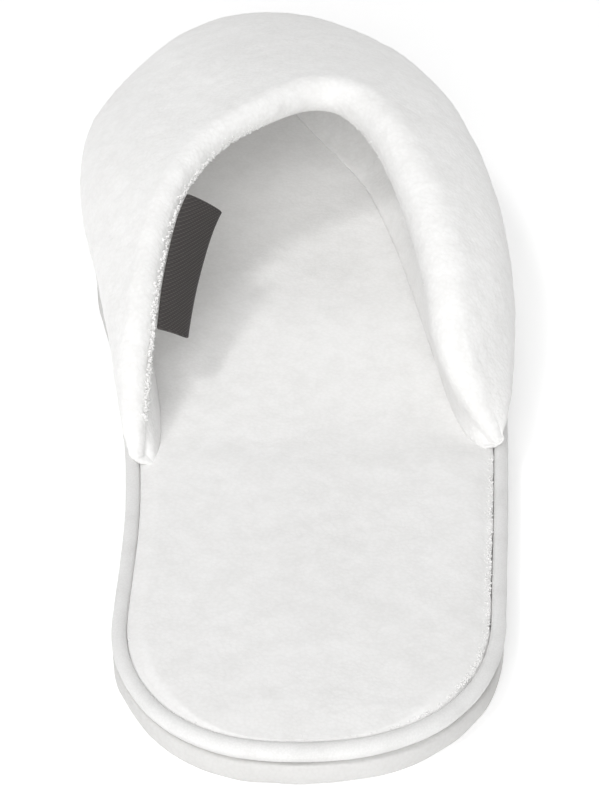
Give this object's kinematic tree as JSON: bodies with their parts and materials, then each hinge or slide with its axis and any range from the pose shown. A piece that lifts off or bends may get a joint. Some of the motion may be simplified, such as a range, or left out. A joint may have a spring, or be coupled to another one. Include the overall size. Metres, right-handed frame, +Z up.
{
  "type": "terry slipper",
  "caption": "Padded terry slip-on slipper with a closed toe, open heel, thick rolled throat edge, fabric-wrapped rim around a terry insole and a thin flat outsole.",
  "frame": {"origin": "centre of the bounding box in plan, on the floor plane under the outsole", "axes": "+Y from the heel to the toe, +X to the lateral side, which is the wearer's right, +Z up"},
  "size_m": [0.1094, 0.285, 0.0571],
  "materials": {
    "outsole_foam": "matt moulded foam rubber, finely pebbled",
    "rim_fabric": "smooth close-knit fabric stretched over the platform's rim",
    "insole_terry": "short looped terry, pressed flat",
    "upper_terry": "deep looped terry over padding",
    "label_weave": "flat woven tape, plain"
  },
  "bodies": {
    "root": {"outsole": "outsole_foam", "midsole": "rim_fabric", "insole": "insole_terry", "upper": "upper_terry", "label": "label_weave"}
  },
  "joints": []
}
